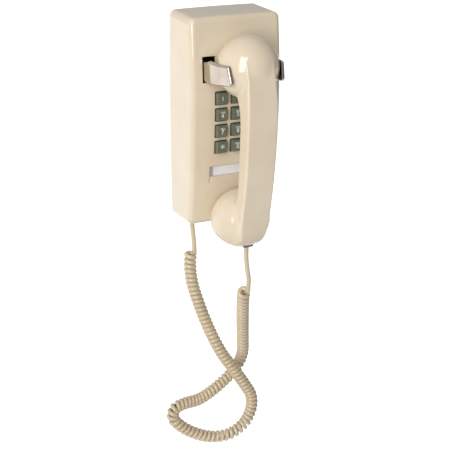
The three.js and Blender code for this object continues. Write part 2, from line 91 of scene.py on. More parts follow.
def front_depth(z):
    """How far the front face stands from the wall at height z."""
    t = np.asarray(z) / END_HEIGHT
    return 59.0 + 2.5 * t - 8.0 * t * t


# ---------------------------------------------------------------- camera, floor and light
VIEW = {"azimuth": -25.411, "elevation": 22.587, "roll": 0.54,
        "back": 1108.55, "level": 13.854, "up": -128.777}
FLOOR_Z = -1.25


def make_camera():
    azimuth, elevation, roll = (math.radians(VIEW[turn]) for turn in ("azimuth", "elevation", "roll"))
    back = Vector((math.sin(azimuth) * math.cos(elevation), -math.cos(azimuth) * math.cos(elevation),
                   math.sin(elevation)))
    level = Vector((math.cos(azimuth), math.sin(azimuth), 0))
    up = back.cross(level)
    right = math.cos(roll) * level + math.sin(roll) * up
    over = -math.sin(roll) * level + math.cos(roll) * up
    data = bpy.data.cameras.new("camera")
    data.lens = 80
    data.sensor_width = 36
    data.clip_start = 0.05
    data.clip_end = 50
    camera = bpy.data.objects.new("camera", data)
    bpy.context.scene.collection.objects.link(camera)
    place = (back * VIEW["back"] + level * VIEW["level"] + up * VIEW["up"]) * MM
    camera.matrix_world = Matrix((
        (right.x, over.x, back.x, place.x),
        (right.y, over.y, back.y, place.y),
        (right.z, over.z, back.z, place.z),
        (0, 0, 0, 1)))
    bpy.context.scene.camera = camera


def area_light(name, place, target, size, power, color=(1, 1, 1)):
    data = bpy.data.lights.new(name, "AREA")
    data.shape = "RECTANGLE"
    data.size, data.size_y = size
    data.energy = power
    data.color = color
    light = bpy.data.objects.new(name, data)
    bpy.context.scene.collection.objects.link(light)
    light.location = place
    light.rotation_mode = "QUATERNION"
    light.rotation_quaternion = (Vector(target) - Vector(place)).to_track_quat("-Z", "Y")


def mapped(tree, value, start, end, low, high):
    """The value, with its range from start to end spread over low to high."""
    spread = tree.nodes.new("ShaderNodeMapRange")
    for socket, number in {"From Min": start, "From Max": end, "To Min": low, "To Max": high}.items():
        spread.inputs[socket].default_value = number
    tree.links.new(value, spread.inputs["Value"])
    return spread.outputs["Result"]


ROOM = {"bright_side": (-0.8, 0.3, 0.5), "bright": 0.7, "dark": 0.1}


def make_studio():
    world = bpy.data.worlds.new("studio")
    bpy.context.scene.world = world
    world.use_nodes = True
    nodes, links = world.node_tree.nodes, world.node_tree.links
    # A white room that is bright on one side and grows darker towards the opposite one.
    toward = nodes.new("ShaderNodeVectorMath")
    toward.operation = "DOT_PRODUCT"
    toward.inputs[1].default_value = Vector(ROOM["bright_side"]).normalized()
    links.new(nodes.new("ShaderNodeTexCoord").outputs["Generated"], toward.inputs[0])
    level = mapped(world.node_tree, toward.outputs["Value"], -1, 1, ROOM["dark"], ROOM["bright"])
    nodes["Background"].inputs["Color"].default_value = (1, 1, 1, 1)
    links.new(level, nodes["Background"].inputs["Strength"])
    area_light("key", (-1.52, -1.6, 0.9), (0, -0.08, 0.05), (1.1, 2.3), 41)
    bpy.context.scene.view_settings.view_transform = "Standard"


def make_floor(material):
    """A pale floor 1.25 m under the telephone, where a wall telephone's floor is."""
    mesh = bpy.data.meshes.new("floor")
    corners = [(x, y, FLOOR_Z) for x, y in ((-8, -6), (8, -6), (8, 10), (-8, 10))]
    mesh.from_pydata(corners, [], [(0, 1, 2, 3)])
    floor = bpy.data.objects.new("floor", mesh)
    bpy.context.scene.collection.objects.link(floor)
    mesh.materials.append(material)


# ---------------------------------------------------------------- materials
def linear(rgb):
    """A display colour, 0 to 255, as a linear one."""
    values = [c / 255 for c in rgb]
    return [v / 12.92 if v <= 0.04045 else ((v + 0.055) / 1.055) ** 2.4 for v in values] + [1.0]


class Finish:
    """One node material around a Principled shader, textured in the object's own metres."""

    def __init__(self, name, metallic=0.0, ior=1.5, coat=0.0, alpha=1.0):
        self.material = bpy.data.materials.new(name)
        self.material.use_nodes = True
        self.nodes = self.material.node_tree.nodes
        self.links = self.material.node_tree.links
        self.shader = self.nodes["Principled BSDF"]
        self.shader.inputs["Metallic"].default_value = metallic
        self.shader.inputs["IOR"].default_value = ior
        self.shader.inputs["Coat Weight"].default_value = coat
        self.shader.inputs["Alpha"].default_value = alpha
        self.where = self.nodes.new("ShaderNodeTexCoord").outputs["Object"]
        self.last_normal = None

    def noise(self, scale, detail=2.0, stretch=(1, 1, 1)):
        mapping = self.nodes.new("ShaderNodeMapping")
        mapping.inputs["Scale"].default_value = stretch
        self.links.new(self.where, mapping.inputs["Vector"])
        noise = self.nodes.new("ShaderNodeTexNoise")
        noise.inputs["Scale"].default_value = scale
        noise.inputs["Detail"].default_value = detail
        self.links.new(mapping.outputs["Vector"], noise.inputs["Vector"])
        return noise.outputs["Fac"]

    def cells(self, scale):
        cells = self.nodes.new("ShaderNodeTexVoronoi")
        cells.inputs["Scale"].default_value = scale
        self.links.new(self.where, cells.inputs["Vector"])
        return cells.outputs["Color"]

    def color(self, factor, *stops):
        """Colours along a factor; each stop is (position, display colour)."""
        ramp = self.nodes.new("ShaderNodeValToRGB")
        while len(ramp.color_ramp.elements) < len(stops):
            ramp.color_ramp.elements.new(0.5)
        for element, (position, rgb) in zip(ramp.color_ramp.elements, stops):
            element.position = position
            element.color = linear(rgb)
        self.links.new(factor, ramp.inputs["Fac"])
        self.links.new(ramp.outputs["Color"], self.shader.inputs["Base Color"])
        return self

    def roughness(self, factor, low, high):
        spread = mapped(self.material.node_tree, factor, 0.3, 0.7, low, high)
        self.links.new(spread, self.shader.inputs["Roughness"])
        return self

    def bump(self, height, depth, strength=1.0):
        """Relief of that depth in millimetres."""
        bump = self.nodes.new("ShaderNodeBump")
        bump.inputs["Strength"].default_value = strength
        bump.inputs["Distance"].default_value = depth * MM
        self.links.new(height, bump.inputs["Height"])
        if self.last_normal:
            self.links.new(self.last_normal, bump.inputs["Normal"])
        self.last_normal = bump.outputs["Normal"]
        self.links.new(self.last_normal, self.shader.inputs["Normal"])
        return self


def moulded(name, dark, light, rough=(0.12, 0.2), grain=0.002, coat=0.5):
    """Moulded plastic: slow clouding of the colour, a faint mould grain and a slight waviness."""
    finish = Finish(name, coat=coat)
    finish.color(finish.noise(22, 3), (0.35, dark), (0.65, light))
    finish.roughness(finish.noise(140, 4), *rough)
    finish.bump(finish.noise(70, 1), 0.03, 0.25)
    finish.bump(finish.noise(2600, 2), grain, 0.4)
    return finish.material


def metal(name, dark, light, rough, stretch=(1, 1, 1), scale=900, depth=0.01):
    """Bare or plated metal with fine drawn scratches along the unstretched axes."""
    finish = Finish(name, metallic=1.0)
    finish.color(finish.noise(60, 3), (0.35, dark), (0.65, light))
    finish.roughness(finish.noise(scale, 3, stretch), *rough)
    finish.bump(finish.noise(scale, 2, stretch), depth, 0.3)
    return finish.material


def make_materials():
    made = {
        "body": moulded("almond_housing", (219, 203, 177), (224, 209, 184)),
        "handset": moulded("almond_handset", (219, 203, 178), (225, 210, 186), rough=(0.1, 0.18)),
        "key": moulded("key_olive_grey", (101, 107, 91), (113, 118, 101), rough=(0.1, 0.18)),
        "legend": moulded("key_legend", (226, 228, 218), (238, 239, 232), rough=(0.4, 0.5)),
        "cord": moulded("cord_vinyl", (196, 178, 147), (207, 190, 160), rough=(0.16, 0.24), grain=0.004),
        "grey": moulded("grey_jack_plastic", (92, 90, 87), (108, 105, 101), rough=(0.4, 0.5)),
        "black": moulded("black_phenolic", (30, 31, 33), (44, 45, 46), rough=(0.35, 0.55)),
        "rubber": moulded("rubber_sheet", (38, 38, 40), (52, 52, 54), rough=(0.7, 0.85), grain=0.02),
        "steel": metal("zinc_plated_steel", (150, 153, 156), (188, 190, 192), (0.28, 0.45)),
        "chrome": metal("chrome_plate", (196, 184, 172), (210, 198, 186), (0.07, 0.16), (1, 1, 12), 500),
        "brass": metal("brass", (178, 146, 78), (204, 172, 102), (0.22, 0.38)),
        "copper": metal("copper_winding", (160, 84, 44), (196, 116, 68), (0.25, 0.4), (40, 1, 1), 120, 0.2),
    }
    # Painted shade: a grey sheet that stands in for the shadow at the left end of the card pocket.
    made["backing"] = moulded("card_backing_grey", (150, 141, 134), (160, 151, 144), rough=(0.4, 0.5))
    made.update(card=card_paper(), window=clear_plastic("card_window_clear", 0.14), board=circuit_board(),
                plug=clear_plastic("plug_clear", 0.35), floor=floor_paint())
    return made


def card_paper():
    finish = Finish("card_paper")
    finish.color(finish.noise(60, 4), (0.35, (240, 236, 237)), (0.65, (247, 243, 244)))
    finish.roughness(finish.noise(300, 3), 0.6, 0.75)
    finish.bump(finish.noise(1800, 4), 0.004, 0.5)
    return finish.material


def clear_plastic(name, alpha):
    finish = Finish(name, ior=1.49, alpha=alpha)
    finish.color(finish.noise(50, 2), (0.35, (232, 234, 234)), (0.65, (244, 246, 246)))
    finish.roughness(finish.noise(400, 3, (1, 1, 6)), 0.04, 0.12)
    finish.bump(finish.noise(120, 1), 0.02, 0.3)
    return finish.material


def circuit_board():
    finish = Finish("circuit_board")
    finish.color(finish.cells(260), (0.3, (36, 84, 50)), (0.72, (52, 108, 66)))
    finish.roughness(finish.noise(300, 3), 0.3, 0.5)
    finish.bump(finish.noise(900, 3), 0.04, 0.5)
    return finish.material


def floor_paint():
    finish = Finish("floor_paint")
    finish.shader.inputs["Emission Color"].default_value = (1, 1, 1, 1)
    # Only the far part of the floor glows, so that it lights the telephone from behind and not from below.
    place = finish.nodes.new("ShaderNodeSeparateXYZ")
    finish.links.new(finish.where, place.inputs["Vector"])
    glow = mapped(finish.material.node_tree, place.outputs["Y"], 0.3, 0.9, 0.0, 0.75)
    finish.links.new(glow, finish.shader.inputs["Emission Strength"])
    finish.color(finish.noise(0.8, 2), (0.3, (246, 246, 246)), (0.7, (250, 250, 250)))
    finish.roughness(finish.noise(3, 2), 0.85, 0.95)
    return finish.material


# ---------------------------------------------------------------- curves
def spline(points, spacing):
    """A centripetal Catmull-Rom curve through the points, resampled at an even spacing."""
    p = np.asarray(points, float)
    p = np.vstack([2 * p[0] - p[1], p, 2 * p[-1] - p[-2]])
    knots = np.concatenate([[0], np.cumsum(np.linalg.norm(np.diff(p, axis=0), axis=1) ** 0.5)])
    dense = []
    for i in range(1, len(p) - 2):
        t = np.linspace(knots[i], knots[i + 1], 60, endpoint=False)[:, None]
        k0, k1, k2, k3 = knots[i - 1:i + 3]
        a1 = ((k1 - t) * p[i - 1] + (t - k0) * p[i]) / (k1 - k0)
        a2 = ((k2 - t) * p[i] + (t - k1) * p[i + 1]) / (k2 - k1)
        a3 = ((k3 - t) * p[i + 1] + (t - k2) * p[i + 2]) / (k3 - k2)
        b1 = ((k2 - t) * a1 + (t - k0) * a2) / (k2 - k0)
        b2 = ((k3 - t) * a2 + (t - k1) * a3) / (k3 - k1)
        dense.append(((k2 - t) * b1 + (t - k1) * b2) / (k2 - k1))
    dense = np.vstack(dense + [p[-2:-1]])
    return resample(dense, spacing)


def along(points):
    """Distance along a polyline at each of its points."""
    return np.concatenate([[0], np.cumsum(np.linalg.norm(np.diff(points, axis=0), axis=1))])


def resample(points, spacing):
    s = along(points)
    count = max(2, int(round(s[-1] / spacing)) + 1)
    at = np.linspace(0, s[-1], count)
    return np.stack([np.interp(at, s, points[:, i]) for i in range(3)], axis=1)


def unit(v):
    return v / np.linalg.norm(v, axis=-1, keepdims=True)


def carried_frame(points, first):
    """Tangents, and the first normal carried along the curve without twist."""
    tangent = unit(np.gradient(points, axis=0))
    normal = np.zeros_like(points)
    n = np.asarray(first, float)
    for i, t in enumerate(tangent):
        n = n - t * (n @ t)
        n /= np.linalg.norm(n)
        normal[i] = n
    return tangent, normal


def bridge_curve(a, a_dir, b, b_dir, pull, count):
    """A Hermite curve from point a to point b, without its two ends."""
    t = np.linspace(0, 1, count + 2)[1:-1, None]
    return ((2 * t**3 - 3 * t**2 + 1) * a + (t**3 - 2 * t**2 + t) * pull * a_dir
            + (-2 * t**3 + 3 * t**2) * b + (t**3 - t**2) * pull * b_dir)


# ---------------------------------------------------------------- cord
def coil_pitch(s, total):
    """Distance between turns along the coil, by share of its length."""
    share = s / total
    marks = [
        (0.0, 6.6), (0.012, 5.7), (0.03, 5.3), (0.045, 5.2), (0.32, 5.2), (0.37, 5.7), (0.44, 6.3),
        (0.58, 6.3), (0.61, 4.7), (0.67, 4.7), (0.72, 5.6), (0.95, 5.4), (0.975, 5.9), (0.99, 7.5),
        (1.0, 12.0)]
    return np.interp(share, *zip(*marks))


def coil_path():
    """The left-handed helix that the strand makes round the coil's middle line."""
    line = spline(COIL, 0.25)
    s = along(line)
    tangent, normal = carried_frame(line, (1, 0, 0))
    side = np.cross(normal, tangent)
    phase = np.concatenate([[0], np.cumsum(np.diff(s) * 2 * np.pi / coil_pitch(s[1:], s[-1]))])
    # The last turn ends on the right, where the handset's lead comes down.
    goal = math.atan2(side[-1] @ np.array([1.0, -0.1, 0]), normal[-1] @ np.array([1.0, -0.1, 0]))
    turns = round((phase[-1] - goal) / (2 * np.pi))
    phase *= (turns * 2 * np.pi + goal) / phase[-1]
    helix = line + COIL_RADIUS * (np.cos(phase)[:, None] * normal + np.sin(phase)[:, None] * side)
    return resample(helix, 1.5)


def cord_path():
    helix = coil_path()
    base = spline(LEAD_BASE, 2.5)
    handset = spline(LEAD_HANDSET, 2.5)[::-1]
    # Each lead runs on a little below its last point, and a short bridge takes it into the coil.
    dip = np.array([0, 0, -4.0])
    pull, bridge_points = 7.0, 5
    base = np.vstack([base, base[-1] + dip])
    handset = np.vstack([handset[0] + dip, handset])
    helix = helix[5:-5]
    first = bridge_curve(base[-1], unit(base[-1] - base[-2]),
                         helix[0], unit(helix[1] - helix[0]), pull, bridge_points)
    last = bridge_curve(helix[-1], unit(helix[-1] - helix[-2]),
                        handset[0], unit(handset[1] - handset[0]), pull, bridge_points)
    inside = 3.0  # each end goes on into its plug
    base = np.vstack([base[0] + [0, 0, inside], base])
    handset = np.vstack([handset, handset[-1] + [0, 0, inside]])
    return resample(np.vstack([base, first, helix, last, handset]), 1.5)


def tube(points, radius, sides):
    tangent, normal = carried_frame(points, (1, 0, 0))
    side = np.cross(tangent, normal)
    shell = Shell()
    angles = np.arange(sides) * 2 * np.pi / sides
    rings = []
    for p, n, b in zip(points, normal, side):
        ring = p + radius * (np.cos(angles)[:, None] * n + np.sin(angles)[:, None] * b)
        rings.append(shell.add(ring))
    for a, b in zip(rings, rings[1:]):
        shell.strip(a, b)
    shell.faces += [rings[0][::-1], rings[-1]]
    return shell


def make_cord(materials):
    path = cord_path()
    cord = tube(path, STRAND / 2, 12).build("cord", materials["cord"])
    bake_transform(cord)
    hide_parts("cord_lead_base", "cord_coil", "cord_lead_handset")


# ---------------------------------------------------------------- mesh building
def within(loops, points):
    """Which points lie inside an odd number of the loops."""
    odd = np.zeros(len(points), bool)
    for loop in loops:
        for a, b in zip(loop, np.roll(loop, -1, axis=0)):
            crosses = (a[1] > points[:, 1]) != (b[1] > points[:, 1])
            if crosses.any():
                u = a[0] + (points[crosses, 1] - a[1]) * (b[0] - a[0]) / (b[1] - a[1])
                odd[np.flatnonzero(crosses)[points[crosses, 0] < u]] ^= True
    return odd


def inner_grid(loops, spacing):
    """Grid points inside the first loop and outside the others, not close to any of them."""
    low, high = loops[0].min(0) + spacing / 2, loops[0].max(0)
    grid = np.array([(u, v) for u in np.arange(low[0], high[0], spacing)
                     for v in np.arange(low[1], high[1], spacing)]).reshape(-1, 2)
    grid = grid[within(loops, grid)]
    rim = np.vstack(loops)
    if not len(grid):
        return grid
    nearest = np.min(np.linalg.norm(grid[:, None] - rim[None], axis=2), axis=1)
    return grid[nearest > spacing * 0.45]


def rounded_rect(centre, half, corner, spacing=5.0, arc=4):
    """Counter-clockwise points of a rounded rectangle in a plane."""
    points = []
    (cu, cv), (hu, hv) = centre, half
    corner = min(corner, hu, hv)
    signs = [(1, -1), (1, 1), (-1, 1), (-1, -1)]
    for quarter, (su, sv) in enumerate(signs):
        turn = quarter * math.pi / 2
        mu, mv = cu + su * (hu - corner), cv + sv * (hv - corner)
        for k in range(arc + 1):
            angle = turn - math.pi / 2 + k * math.pi / 2 / arc
            points.append((mu + corner * math.cos(angle), mv + corner * math.sin(angle)))
        run = 2 * ((hv if quarter % 2 == 0 else hu) - corner)
        ahead = signs[(quarter + 1) % 4]
        nu, nv = cu + ahead[0] * (hu - corner), cv + ahead[1] * (hv - corner)
        end = (nu + corner * math.cos(turn), nv + corner * math.sin(turn))
        between = max(0, int(run / spacing))
        last = points[-1]
        for k in range(1, between + 1):
            share = k / (between + 1)
            points.append((last[0] + share * (end[0] - last[0]), last[1] + share * (end[1] - last[1])))
    return np.array(points)


def fill(flat, grid, ids):
    """Faces that fill the first flat loop, but for the others, with the grid's points among them."""
    edges, start = [], 0
    for loop in flat:
        edges += [(start + k, start + (k + 1) % len(loop)) for k in range(len(loop))]
        start += len(loop)
    spots = [Vector(p) for p in np.vstack(flat + [grid])]
    corners, _, faces, source, _, _ = delaunay_2d_cdt(spots, edges, [], 1, 1e-7)
    middles = np.array([sum((corners[i] for i in face), Vector((0, 0))) / len(face) for face in faces])
    return [[ids[source[i][0]] for i in face] for face, keep in zip(faces, within(flat, middles)) if keep]


class Shell:
    """Gathers the points and faces of one closed mesh, in millimetres."""

    def __init__(self):
        self.points, self.faces = [], []

    def add(self, points):
        start = len(self.points)
        self.points += [tuple(map(float, p)) for p in points]
        return list(range(start, len(self.points)))

    def strip(self, a, b):
        """Quads between two closed loops of equal length."""
        n = len(a)
        self.faces += [(a[i], a[(i + 1) % n], b[(i + 1) % n], b[i]) for i in range(n)]

    def strips(self, loops):
        rings = [self.add(loop) for loop in loops]
        for a, b in zip(rings, rings[1:]):
            self.strip(a, b)
        return rings

    def patch(self, loops, lift, spacing, axes=(0, 2)):
        """Fills the area inside the first loop and outside the others with triangles.

        The area lies flat in two of the three axes, and lift gives a point in it its place in space.
        """
        flat = [np.array([[self.points[i][a] for a in axes] for i in loop]) for loop in loops]
        grid = inner_grid(flat, spacing)
        ids = [i for loop in loops for i in loop] + self.add([lift(u, v) for u, v in grid])
        self.faces += fill(flat, grid, ids)

    def build(self, name, material, sharp=40):
        mesh = bpy.data.meshes.new(name)
        mesh.from_pydata([tuple(c * MM for c in p) for p in self.points], [], self.faces)
        return finish_object(name, mesh, material, sharp)


def finish_object(name, mesh, material, sharp=40):
    """Turns the faces outward, shades them smooth up to the sharp angle, and makes the object."""
    made = bmesh.new()
    made.from_mesh(mesh)
    bmesh.ops.remove_doubles(made, verts=made.verts, dist=1e-6)
    bmesh.ops.recalc_face_normals(made, faces=made.faces)
    for face in made.faces:
        face.smooth = True
    limit = math.radians(sharp)
    for edge in made.edges:
        edge.smooth = edge.calc_face_angle(0) < limit
    made.to_mesh(mesh)
    made.free()
    mesh.materials.clear()
    mesh.materials.append(material)
    piece = bpy.data.objects.new(name, mesh)
    bpy.context.scene.collection.objects.link(piece)
    return piece


def lathe(profile, sides=64):
    """A turned piece about its own Y axis; profile points are (radius, y), with both ends on the axis."""
    shell = Shell()
    angles = np.arange(sides) * 2 * np.pi / sides
    rings = []
    for radius, y in profile:
        if radius < 1e-6:
            rings.append(shell.add([(0, y, 0)]))
        else:
            rings.append(shell.add([(radius * math.cos(a), y, radius * math.sin(a)) for a in angles]))
    for a, b in zip(rings, rings[1:]):
        if len(a) == 1 or len(b) == 1:
            tip, ring = (a[0], b) if len(a) == 1 else (b[0], a)
            shell.faces += [(ring[i], ring[(i + 1) % sides], tip) for i in range(sides)]
        else:
            shell.strip(a, b)
    return shell


def rounded_profile(corners, radius, steps=4):
    """The profile with its inner corners rounded; each corner may name its own radius."""
    points = [corners[0][:2]]
    for before, here, after in zip(corners, corners[1:], corners[2:]):
        r = here[2] if len(here) > 2 else radius
        p = np.array(here[:2], float)
        a = np.array(before[:2], float) - p
        b = np.array(after[:2], float) - p
        la, lb = np.linalg.norm(a), np.linalg.norm(b)
        cosine = np.clip((a @ b) / (la * lb), -1, 1)
        reach = min(r / max(math.tan(math.acos(cosine) / 2), 1e-3), 0.48 * la, 0.48 * lb)
        start, end = p + a / la * reach, p + b / lb * reach
        for k in range(steps + 1):
            t = k / steps
            points.append(tuple((1 - t) ** 2 * start + 2 * t * (1 - t) * p + t ** 2 * end))
    points.append(corners[-1][:2])
    return points


def block(low, high):
    """A plain cutter from its low corner to its high corner."""
    shell = Shell()
    low, high = np.array(low, float), np.array(high, float)
    rings = shell.strips([[(x, y, z) for x, y in ((low[0], low[1]), (high[0], low[1]), (high[0], high[1]),
                                                  (low[0], high[1]))] for z in (low[2], high[2])])
    shell.faces += [rings[0], rings[1]]
    return shell


def cut(piece, *cutters):
    """Takes the cutters away from the piece's mesh. All of them are closed."""
    for cutter in cutters:
        step = piece.modifiers.new("cut", "BOOLEAN")
        step.operation = "DIFFERENCE"
        step.solver = "MANIFOLD"
        step.object = cutter
    graph = bpy.context.evaluated_depsgraph_get()
    mesh = bpy.data.meshes.new_from_object(piece.evaluated_get(graph))
    name, material = piece.name, piece.data.materials[0]
    for old in (piece, *cutters):
        bpy.data.objects.remove(old)
    mesh.name = name
    return finish_object(name, mesh, material)


def moved(piece, cup):
    """Moves a mesh from a cup's own frame, whose +Y looks at the wall, to its place."""
    turn = Matrix.Rotation(math.radians(cup["tilt"]), 4, "X")
    piece.data.transform(Matrix.Translation(Vector((0, cup["y"], cup["z"])) * MM) @ turn)
    return piece


def settle(piece, body, slot, *nodes):
    """The piece rides on a body and stands for CAD nodes, which it hides; the slot is not used."""
    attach(piece, body)
    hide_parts(*nodes)


# ---------------------------------------------------------------- housing
def body_outline():
    """The body's outline from the front, counter-clockwise, as rows of x, z and the outward normal."""
    side = BODY["width"] / 2
    flat = side - CORNER

    def quarter(rise, half, sign):
        """From the middle of the top or bottom edge out to the side."""
        tilt = math.atan(2 * rise / flat)
        end = flat + CORNER * math.sin(tilt)
        rows = []
        for x in np.linspace(0, end, 14)[:-1]:
            normal = Vector((2 * rise * x / flat ** 2, 1)).normalized()
            rows.append((x, sign * (half - rise * (x / flat) ** 2), normal.x, sign * normal.y))
        middle = half - rise * (end / flat) ** 2 - CORNER * math.cos(tilt)
        for angle in np.linspace(math.pi / 2 - tilt, 0, 10):
            c, s = math.cos(angle), math.sin(angle)
            rows.append((flat + CORNER * c, sign * (middle + CORNER * s), c, sign * s))
        return rows

    bottom, top = quarter(CROWN["bottom"], BODY["low"], -1), quarter(CROWN["top"], BODY["high"], 1)
    rise = [(side, z, 1, 0) for z in np.linspace(bottom[-1][1], top[-1][1], 50)[1:-1]]
    right = bottom + rise + top[::-1]
    left = [(-x, z, -nx, nz) for x, z, nx, nz in right[-2:0:-1]]
    rows = np.array(right + left)
    bow = BODY["belly"] * (1 - (rows[:, 1] / BODY["low"]) ** 2)
    rows[:, 0] += np.sign(rows[:, 0]) * (np.abs(rows[:, 0]) / side) ** 4 * bow
    return rows


def drafted(x, y, z):
    """The point moved up or down by the draft of the top and bottom, which is nothing at the front."""
    behind = 1 - np.abs(y) / front_depth(z)
    reach = np.where(z > 0, DRAFT["top"] / BODY["high"], DRAFT["bottom"] / BODY["low"])
    return np.stack([x, y, z * (1 + reach * behind)], axis=1)


def rim_rows(radius, steps):
    """(inset, depth) pairs round a quarter circle, from the side to the front."""
    angles = np.linspace(0, math.pi / 2, steps + 1)
    return [(radius * (1 - math.cos(a)), radius * (1 - math.sin(a))) for a in angles]


def make_housing():
    rows = body_outline()
    shell = Shell()
    back, wall, inner = BODY["back"], BODY["wall"], 3.0

    def loop(inset, depth_of):
        x, z = rows[:, 0] - rows[:, 2] * inset, rows[:, 1] - rows[:, 3] * inset
        return drafted(x, depth_of(z), z)

    def skin(inset, radius):
        """Rings from the back edge to the front, where the corner turns in."""
        reach = inset and wall

        def between(share):
            return lambda z: back - 0.4 + share * (reach + radius - front_depth(z) - back + 0.4)

        rings = [loop(inset, between(share)) for share in (0, 0.25, 0.5, 0.75)]
        rings += [loop(inset + i, lambda z, d=d: reach + d - front_depth(z)) for i, d in rim_rows(radius, 8)]
        return rings

    outside = shell.strips([loop(0.4, lambda z: back + 0 * z)] + skin(0, EDGE_RADIUS))
    inside = shell.strips([loop(wall - 0.3, lambda z: back + 0 * z)] + skin(wall, inner))
    shell.strip(outside[0], inside[0])

    def opening(centre, half, corner, rim, bottom):
        """An opening with a rounded rim; bottom gives the depth where its wall ends."""
        rings = []
        for inset, depth in rim_rows(rim, 4)[::-1]:
            flat = rounded_rect(centre, (half[0] + inset, half[1] + inset), corner + inset)
            rings.append(np.stack([flat[:, 0], depth - front_depth(flat[:, 1]), flat[:, 1]], axis=1))
        flat = rounded_rect(centre, half, corner)
        rings.append(np.stack([flat[:, 0], bottom(flat[:, 1]), flat[:, 1]], axis=1))
        loops = shell.strips(rings)
        return loops[0], loops[-1]

    through = lambda z: wall - front_depth(z)
    front_loops, inner_loops = [outside[-1]], [inside[-1]]
    holes = [(key_centre(i), *KEY_HOLE) for i in range(len(KEY_NAMES))]
    for side in (-1, 1):
        middle = side * (SLOT["outer"] + SLOT["inner"]) / 2
        size = ((SLOT["outer"] - SLOT["inner"]) / 2, (SLOT["high"] - SLOT["low"]) / 2)
        holes.append(((middle, (SLOT["high"] + SLOT["low"]) / 2), size, 0.8, 0.35))
    for hole in holes:
        outer_end, inner_end = opening(*hole, through)
        front_loops.append(outer_end)
        inner_loops.append(inner_end)
    half_w, half_h, z, floor = (WINDOW[k] for k in ("half_width", "half_height", "z", "floor"))
    pocket = opening((0, z), (half_w, half_h), 0.6, 0.35, lambda v: floor + 0 * v)
    slit = opening((-half_w - 0.1, z - half_h - 4), (0.45, 3), 0.3, 0.15, lambda v: 1.9 - front_depth(v))
    for top, floor_loop in (pocket, slit):
        front_loops.append(top)
        level = shell.points[floor_loop[0]][1]
        shell.patch([floor_loop], lambda u, v, level=level: (u, level, v), 4)
    flat = rounded_rect((0, z), (half_w + 3, half_h + 3), 1)
    boss = shell.strips([np.stack([flat[:, 0], through(flat[:, 1]), flat[:, 1]], axis=1),
                         np.stack([flat[:, 0], floor + 2.4 + 0 * flat[:, 1], flat[:, 1]], axis=1)])
    shell.patch([boss[1]], lambda u, v: (u, floor + 2.4, v), 6)
    inner_loops.append(boss[0])
    shell.patch(front_loops, lambda u, v: (u, float(-front_depth(v)), v), 4)
    shell.patch(inner_loops, lambda u, v: (u, float(wall - front_depth(v)), v), 6)
    housing = shell.build("housing_shell", MATERIALS["body"])
    # The cord's opening, the ringer volume slot and the screw hole in the bottom edge.
    cord_hole = block((-43, -31.5, -125), (-33, -22.5, -100)).build("cord_hole", MATERIALS["body"])
    slider_slot = block((9, -32.2, -125), (29, -27.8, -100)).build("slider_slot", MATERIALS["body"])
    screw_hole = lathe([(0, -12), (2, -12), (2, 12), (0, 12)], 24).build("screw_hole", MATERIALS["body"])
    screw_hole.data.transform(Matrix.Translation((0, -0.020, -0.112)) @ Matrix.Rotation(math.pi / 2, 4, "X"))
    housing = cut(housing, cord_hole, slider_slot, screw_hole)
    settle(housing, "root", "housing_plastic", "housing")


def key_centre(i):
    return ((i % 3) - 1) * KEY["pitch_x"], KEY["top_row"] - (i // 3) * KEY["pitch_z"]


# ---------------------------------------------------------------- handset
def curve_through(start, control, end, steps):
    t = np.linspace(0, 1, steps + 1)[1:, None]
    start, control, end = (np.array(p, float) for p in (start, control, end))
    return (1 - t) ** 2 * start + 2 * t * (1 - t) * control + t ** 2 * end


def handle_outline():
    """The handle's side view as a closed line of (y, z) points."""
    z = np.arange(70, -105, -6.0)
    curve = np.where(z > HANDLE["crest_z"], HANDLE["upper_curve"], HANDLE["curve"])
    outer = np.stack([HANDLE["crest"] + curve * (z - HANDLE["crest_z"]) ** 2, z], axis=1)
    return np.vstack([
        [(-84, 80), (-98, 84)],
        curve_through((-98, 84), (-108.5, 82), outer[0], 8), outer[1:],
        curve_through(outer[-1], (-103.5, -124), (-86, -129.5), 8),
        [(-74, -122), (-74, -84)],
        curve_through((-74, -84), (-92, -80), (-94, -60), 8),
        [(-95.8, -30), (-97.6, 8)],
        curve_through((-97.6, 8), (-97, 36), (-76, 46), 8)])


def line_distance(points, loop):
    """Signed distance of plane points from a closed line, negative inside."""
    nearest = np.full(len(points), 1e9)
    for a, b in zip(loop, np.roll(loop, -1, axis=0)):
        along_edge = b - a
        share = np.clip(((points - a) @ along_edge) / (along_edge @ along_edge), 0, 1)
        nearest = np.minimum(nearest, np.linalg.norm(points - a - share[:, None] * along_edge, axis=1))
    return np.where(within([loop], points), -nearest, nearest)


def melt(a, b, reach):
    """The smaller of two distances, with a fillet of about that reach where they meet."""
    near = np.maximum(reach - np.abs(a - b), 0) / reach
    return np.minimum(a, b) - near * near * reach / 4


def handset_field(x, y, z, side):
    """Distance from the outside of the handset; side is that of the handle's side view."""
    inward = np.clip((y + 110) / 12, 0, 1)
    softening = HANDLE["inner_edge"] - HANDLE["outer_edge"]
    ridge = HANDLE["outer_edge"] + softening * inward * inward * (3 - 2 * inward)
    up = np.clip((z - 30) / 40, 0, 1)
    half_width = HANDLE["half_width"] - HANDLE["narrowing"] * up * up * (3 - 2 * up)
    across, through = np.abs(x) - half_width + ridge, side + ridge
    field = np.minimum(np.maximum(across, through), 0) - ridge
    field = field + np.hypot(np.maximum(across, 0), np.maximum(through, 0))
    for cup, reach in ((RECEIVER, 1.6), (MOUTH, 4.0)):
        ball = np.sqrt(x ** 2 + (y - cup["y"]) ** 2 + (z - cup["z"]) ** 2) - cup["radius"]
        field = melt(field, ball, reach)
    return field


